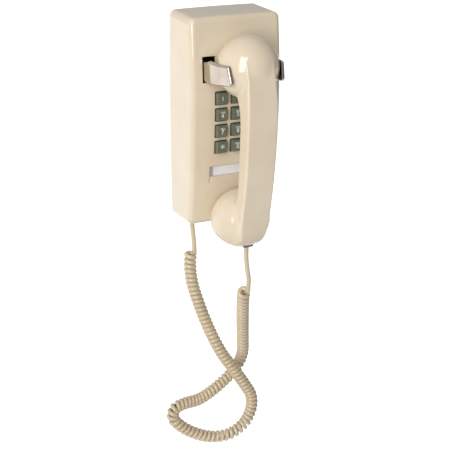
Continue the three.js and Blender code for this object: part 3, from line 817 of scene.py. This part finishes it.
def surface_nets(field, low, step):
    """Points and quads of the surface where a sampled field is zero; the field is negative inside."""
    inside = field < 0
    size = np.array(field.shape) - 1
    count = np.zeros(size, np.int8)
    corners = [(i, j, k) for i in (0, 1) for j in (0, 1) for k in (0, 1)]
    view = lambda grid, c: grid[c[0]:c[0] + size[0], c[1]:c[1] + size[1], c[2]:c[2] + size[2]]
    for c in corners:
        count += view(inside, c)
    live = (count > 0) & (count < 8)
    cells = np.argwhere(live)
    total, hits = np.zeros((len(cells), 3)), np.zeros(len(cells))
    for a in corners:
        for axis in range(3):
            if a[axis]:
                continue
            b = tuple(v + (i == axis) for i, v in enumerate(a))
            fa, fb = view(field, a)[live], view(field, b)[live]
            crossed = (fa < 0) != (fb < 0)
            share = np.where(crossed, fa / np.where(crossed, fa - fb, 1), 0)
            spot = np.array(a, float) + np.eye(3)[axis] * share[:, None]
            total += spot * crossed[:, None]
            hits += crossed
    points = (cells + total / hits[:, None]) * step + low
    index = np.full(size, -1)
    index[live] = np.arange(len(cells))
    faces = []
    for axis in range(3):
        u, v = (axis + 1) % 3, (axis + 2) % 3
        ahead = np.roll(inside, -1, axis=axis)
        edges = np.argwhere(inside != ahead)
        edges = edges[(edges[:, axis] < size[axis]) & (edges[:, u] > 0) & (edges[:, v] > 0)
                      & (edges[:, u] < size[u]) & (edges[:, v] < size[v])]
        eu, ev = np.eye(3, dtype=int)[u], np.eye(3, dtype=int)[v]
        quad = np.stack([index[tuple((edges - d).T)] for d in (eu + ev, ev, 0 * eu, eu)], axis=1)
        faces.append(np.where(inside[tuple(edges.T)][:, None], quad, quad[:, ::-1]))
    return points, np.vstack(faces)


def handset_skin(step=1.0):
    """The closed outside of the handset: two round cups melted into a flat-fronted handle."""
    loop = handle_outline()
    low = np.array([-35.5, -123.0, -139.0])
    x, y, z = (np.arange(l, h, step) for l, h in zip(low, (36.5, -35.0, 100.5)))
    yy, zz = np.meshgrid(y, z, indexing="ij")
    side = line_distance(np.stack([yy.ravel(), zz.ravel()], axis=1), loop).reshape(yy.shape)
    field = handset_field(x[:, None, None], yy[None], zz[None], side[None])
    points, faces = surface_nets(field, low, step)

    def value(p):
        return handset_field(p[:, 0], p[:, 1], p[:, 2], line_distance(p[:, 1:], loop))

    for _ in range(2):
        here = value(points)
        slope = np.stack([(value(points + 0.05 * e) - here) / 0.05 for e in np.eye(3)], axis=1)
        points -= (here / np.maximum((slope ** 2).sum(1), 0.2))[:, None] * slope
    shell = Shell()
    shell.points, shell.faces = [tuple(p) for p in points], faces.tolist()
    return shell


def make_handset():
    body = handset_skin().build("handset_shell", MATERIALS["handset"])
    cutters = []
    for name, cup in (("ear", RECEIVER), ("mouth", MOUTH)):
        inner = cup["radius"] - CUP_WALL
        arc = [(inner * math.sin(a), -inner * math.cos(a)) for a in np.linspace(0, math.pi, 41)]
        arc[0], arc[-1] = (0, -inner), (0, inner)
        rim = math.sqrt(cup["radius"] ** 2 - cup["seam"] ** 2)
        far = cup["seam"]
        flat = [(0, far), (rim - 0.7, far), (rim + 0.5, far - 0.9), (60, far - 0.9), (60, 60), (0, 60)]
        cutters += [moved(lathe(arc, 72).build(name + "_hollow", MATERIALS["handset"]), cup),
                    moved(lathe(flat, 96).build(name + "_seam", MATERIALS["handset"]), cup)]
    cutters.append(block((-6, -92.5, -145), (6, -81.5, -115.6)).build("jack_hole", MATERIALS["handset"]))
    body = cut(body, *cutters)
    settle(body, "handset", "handset_plastic", "handset_body")
    for name, cup in (("receiver_cap", RECEIVER), ("transmitter_cap", MOUTH)):
        make_cap(name, cup)


def make_cap(name, cup):
    """The screw-on cap of a cup: a rounded rim, a shallow dished face and a ring of sound holes."""
    rim = math.sqrt(cup["radius"] ** 2 - cup["seam"] ** 2)
    start, face = cup["seam"] + 0.3, cup["face"]
    thread = cup["seam"] - 4
    profile = rounded_profile(
        [(0, face - 0.9), (11, face - 0.9, 2), (14, face, 2), (rim - 8.5, face, 2.5),
         (rim - 5.4, face - 1.9, 2.5), (rim, start, 0.7), (rim - 3.4, start, 0.3), (rim - 3.4, thread, 0.3),
         (rim - 5, thread, 0.3), (rim - 5, start + 1, 1), (rim - 8.4, face - 3.6, 1),
         (rim - 9.8, face - 2.8, 1), (0, face - 2.8)], 0.4)
    cap = lathe(profile, 96).build(name + "_turned", MATERIALS["handset"])
    spots = [(0, 0)] + [(cup["holes"] * math.cos(i * math.pi / 3), cup["holes"] * math.sin(i * math.pi / 3))
                        for i in range(6)]
    drills = []
    for i, (x, z) in enumerate(spots):
        drill = lathe([(0, face - 6), (1.3, face - 6), (1.3, face + 4), (0, face + 4)], 20)
        drill = drill.build("drill_%d" % i, MATERIALS["handset"])
        drill.data.transform(Matrix.Translation(Vector((x, 0, z)) * MM))
        drills.append(drill)
    cap = moved(cut(cap, *drills), cup)
    settle(cap, "handset", "handset_plastic", name)


# ---------------------------------------------------------------- cradle
ARM = {"root": 38.3, "tip": 30.2, "bend": -73.0, "front": -107.6, "back": -24.0, "sheet": 1.3, "flange": 3.2}


def arm_path():
    """Plan view of an arm's outer face, from inside the body to the front, as (x, y) by length."""
    corner = np.array([ARM["root"], ARM["bend"]])
    start, end = np.array([ARM["root"], ARM["back"]]), np.array([ARM["tip"], ARM["front"]])
    a, b = unit(start - corner), unit(end - corner)
    reach = 11.0
    bend = curve_through(corner + a * reach, corner, corner + b * reach, 10)
    return np.vstack([start, corner + a * reach, bend, end])


def arm_outline():
    """The arm's blank as (length along the path, height) points."""
    path = arm_path()
    total = float(along(path)[-1])
    reach = total - 33.3
    return [
        (0, 50.6), (30, 47.4), (reach, 48.6), (total + 0.4, 53.6), (total - 6.2, 73.0), (total - 20, 72.0),
        (45, 71.8), (36, 69.8), (27, 69.8), (21, 63.6), (0, 63.6)]


def rounded_loop(corners, radius, steps=5, spacing=3.0):
    """A closed line through the corners, each rounded, with points no further apart than the spacing."""
    points = []
    n = len(corners)
    for i in range(n):
        p, a, b = (np.array(corners[k % n], float) for k in (i, i - 1, i + 1))
        da, db = a - p, b - p
        la, lb = np.linalg.norm(da), np.linalg.norm(db)
        angle = math.acos(np.clip((da @ db) / (la * lb), -1, 1))
        reach = min(radius / math.tan(angle / 2), 0.45 * la, 0.45 * lb)
        s, e = p + da / la * reach, p + db / lb * reach
        points += [(1 - t) ** 2 * s + 2 * t * (1 - t) * p + t ** 2 * e for t in np.linspace(0, 1, steps + 1)]
    loop = []
    for a, b in zip(points, points[1:] + points[:1]):
        parts = max(1, int(np.linalg.norm(b - a) / spacing))
        loop += [a + (b - a) * k / parts for k in range(parts)]
    return np.array(loop)


def make_arm(side):
    """A pressed plate, dished like a shallow tray: its rim turns inward all round."""
    path = arm_path()
    s = along(path)
    direction = unit(np.gradient(path, s, axis=0))

    def place(u, v, depth):
        """Depth is measured inward from the outer face."""
        x, y = np.interp(u, s, path[:, 0]), np.interp(u, s, path[:, 1])
        dx, dy = np.interp(u, s, direction[:, 0]), np.interp(u, s, direction[:, 1])
        if u > s[-1]:
            x, y = x + dx * (u - s[-1]), y + dy * (u - s[-1])
        norm = math.hypot(dx, dy)
        return side * (x + dy / norm * depth), y - dx / norm * depth, v

    blank = rounded_loop(arm_outline(), 3.8)
    ahead = unit(np.roll(blank, -1, axis=0) - np.roll(blank, 1, axis=0))
    inward = np.stack([-ahead[:, 1], ahead[:, 0]], axis=1)
    shell = Shell()
    radius, sheet = 2.3, ARM["sheet"]

    def ring(inset, depth):
        return [place(u, v, depth) for u, v in blank + inward * inset]

    outer = [ring(i, d) for i, d in rim_rows(radius, 6)[::-1]] + [ring(0, ARM["flange"])]
    inner = [ring(sheet, ARM["flange"])]
    inner += [ring(sheet + i, sheet + d) for i, d in rim_rows(radius - sheet, 3)]
    loops = shell.strips(outer + inner)
    for loop, inset, depth in ((loops[0], radius, 0.0), (loops[-1], radius, sheet)):
        flat = blank + inward * inset
        tray_face(shell, loop, flat, lambda u, v, depth=depth: place(u, v, depth))
    return shell


def tray_face(shell, loop, flat, lift):
    """Fills a loop drawn flat at (length, height) and lifts the fill onto the bent plate."""
    grid = inner_grid([flat], 2.6)
    shell.faces += fill([flat], grid, loop + shell.add([lift(u, v) for u, v in grid]))


def make_cradle():
    """Two arms and the bar that joins them behind the front, on the hook-switch pin."""
    for name, side in (("left", -1), ("right", 1)):
        arm = make_arm(side).build("cradle_arm_" + name, MATERIALS["chrome"])
        settle(arm, "cradle_arms", "chrome", "cradle")
    flat = rounded_rect((0, 53), (36.6, 3), 0.8, 8)
    bar = Shell()
    rings = bar.strips([[(x, y, z) for x, z in flat] for y in (-25.9, -24.1)])
    bar.faces += [rings[0], rings[1]]
    settle(bar.build("cradle_bar", MATERIALS["chrome"]), "cradle_arms", "chrome", "cradle")


# ---------------------------------------------------------------- keypad and number card
KEY_TOP = -62.8
DISH = 0.55
# A key from its stem to just under its top: (half size, corner, y).
KEY_LEVELS = [
    ((4.3, 4.3), 0.3, -47.2), ((4.3, 4.3), 0.3, -53.4), ((8.1, 8.1), 0.4, -53.4), ((8.1, 8.1), 0.4, -54.4),
    ((6.5, 6.4), 1.0, -54.4), ((6.5, 6.4), 1.0, -58.6), ((6.45, 6.35), 1.0, -59.4), ((5.95, 5.8), 0.9, -62.1),
    ((5.82, 5.67), 0.85, -62.5), ((5.65, 5.5), 0.8, -62.75),
]


def key_face(u, v, half):
    """Depth of a key's dished top at (u, v) from its middle."""
    return KEY_TOP + DISH * (1 - max(abs(u) / half[0], 0) ** 2) * (1 - (abs(v) / half[1]) ** 2)


def make_keys():
    top = (5.5, 5.35)
    for i, (name, sign, letters) in enumerate(zip(KEY_NAMES, KEY_SIGNS, KEY_LETTERS)):
        x, z = key_centre(i)
        shell = Shell()
        levels = KEY_LEVELS + [(top, 0.75, KEY_TOP)]
        rings = []
        for half, corner, y in levels:
            flat = rounded_rect((x, z), half, corner, 4.0)
            rings.append([(u, y, v) for u, v in flat])
        for share in (0.9, 0.75, 0.5, 0.25):
            flat = rounded_rect((x, z), (top[0] * share, top[1] * share), 0.75 * share, 4.0 * share)
            if len(flat) != len(rings[0]):
                flat = (np.array([(p[0], p[2]) for p in rings[10]]) - (x, z)) * share + (x, z)
            rings.append([(u, key_face(u - x, v - z, top), v) for u, v in flat])
        count = len(rings[-1])
        rings = [resized(r, count) for r in rings]
        loops = shell.strips(rings)
        shell.faces += [loops[0]]
        middle = shell.add([(x, key_face(0, 0, top), z)])[0]
        shell.faces += [(loops[-1][k], loops[-1][(k + 1) % count], middle) for k in range(count)]
        key = shell.build("keycap_" + name, MATERIALS["key"])
        settle(key, "button_" + name, "key_plastic", "key_" + name)
        make_legend(name, sign, letters, x, z, top)


def resized(ring, count):
    """The ring with that many points, by taking it round at even steps."""
    if len(ring) == count:
        return ring
    ring = np.array(ring)
    closed = np.vstack([ring, ring[:1]])
    s = along(closed)
    at = np.linspace(0, s[-1], count, endpoint=False)
    return np.stack([np.interp(at, s, closed[:, i]) for i in range(3)], axis=1)


def make_legend(name, sign, letters, x, z, top):
    """White characters printed on a key: the letters above, the sign below them."""
    lines = [(sign, 4.6 if sign not in "*#" else 6.5, -2.7 if letters else -2.2)]
    if sign == "*":
        lines = [(sign, 8.0, -4.4)]
    if letters:
        lines.append((letters, 2.3 if len(letters) < 4 else 2.0, 1.9))
    points, faces = [], []
    for words, height, drop in lines:
        data = bpy.data.curves.new("words", "FONT")
        data.body = words
        data.size = height * 1.38
        data.align_x = "CENTER"
        data.resolution_u = 3
        data.extrude = 0.06
        data.offset = 0.03
        holder = bpy.data.objects.new("words", data)
        bpy.context.scene.collection.objects.link(holder)
        mesh = bpy.data.meshes.new_from_object(holder.evaluated_get(bpy.context.evaluated_depsgraph_get()))
        start = len(points)
        for vertex in mesh.vertices:
            u, v, lift = vertex.co.x, vertex.co.y + drop, vertex.co.z
            points.append((x + u, key_face(u, v, top) - 0.01 - lift, z + v))
        faces += [[start + k for k in polygon.vertices] for polygon in mesh.polygons]
        bpy.data.objects.remove(holder)
        bpy.data.curves.remove(data)
        bpy.data.meshes.remove(mesh)
    shell = Shell()
    shell.points, shell.faces = points, faces
    legend = shell.build("legend_" + name, MATERIALS["legend"])
    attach(legend, "button_" + name)


def make_card():
    """A paper card behind a clear window. The paper stops short of the left end, where a grey sheet under it
    is painted shade for the shadow in the pocket.
    """
    half_h, z, floor = WINDOW["half_height"], WINDOW["z"], WINDOW["floor"]
    flat = rounded_rect((0, z), (WINDOW["half_width"] - 0.4, half_h - 0.35), 0.4, 6)
    # The grey sheet under the card is painted shade for the pocket's shadowed left end.
    backing = Shell()
    rings = backing.strips([[(u, y, v) for u, v in flat] for y in (floor - 0.05, floor - 0.3)])
    backing.faces += [rings[0], rings[1]]
    settle(backing.build("card_backing", MATERIALS["backing"]), "root", "card", "number_card")
    flat = rounded_rect((2.35, z), (27.3, half_h - 0.4), 0.5, 3)
    card = Shell()
    faces = (floor - 0.35, floor - 0.65)

    def bowed(u, v, y):
        return u, y - 0.12 * (1 - (u / 30) ** 2), v

    rings = card.strips([[bowed(u, v, y) for u, v in flat] for y in faces])
    for loop, y in zip(rings, faces):
        card.patch([loop], lambda u, v, y=y: bowed(u, v, y), 3)
    settle(card.build("card_paper", MATERIALS["card"]), "root", "card", "number_card")


MATERIALS = make_materials()
make_camera()
make_studio()
make_floor(MATERIALS["floor"])
make_cord(MATERIALS)
make_housing()
make_handset()
make_cradle()
make_keys()
make_card()

NODE_FINISHES = {
    "card_window": "window", "base_plate": "steel", "line_plug": "grey", "housing_screw": "steel",
    "keypad_frame": "grey", "keypad_contact_sheet": "rubber", "keypad_board": "board", "cradle_pin": "steel",
    "cradle_mount": "steel", "hookswitch_block": "black", "hookswitch_leaf": "brass",
    "circuit_board": "board",
    "speech_network": "black", "handset_jack_base": "grey", "ringer_frame": "steel", "ringer_coil": "copper",
    "ringer_gong": "brass", "gong_screw": "steel", "ringer_clapper": "brass", "ringer_volume_slider": "black",
    "handset_jack": "grey", "receiver_capsule": "steel", "transmitter_capsule": "steel",
    "transmitter_contact_cup": "black", "cord_plug_base": "plug", "cord_plug_handset": "plug",
}


def finish_nodes():
    """Gives every CAD node that stays a material, and softens its edges."""
    for name, node in NODES.items():
        node.data.materials.clear()
        node.data.materials.append(MATERIALS[NODE_FINISHES.get(name, "steel")])
        if not node.hide_render:
            weld = node.modifiers.new("weld", "WELD")
            weld.merge_threshold = 1e-5
            bevel = node.modifiers.new("bevel", "BEVEL")
            bevel.width = 0.25 * MM
            bevel.segments = 2
            bevel.limit_method = "ANGLE"
            bevel.angle_limit = math.radians(40)


finish_nodes()
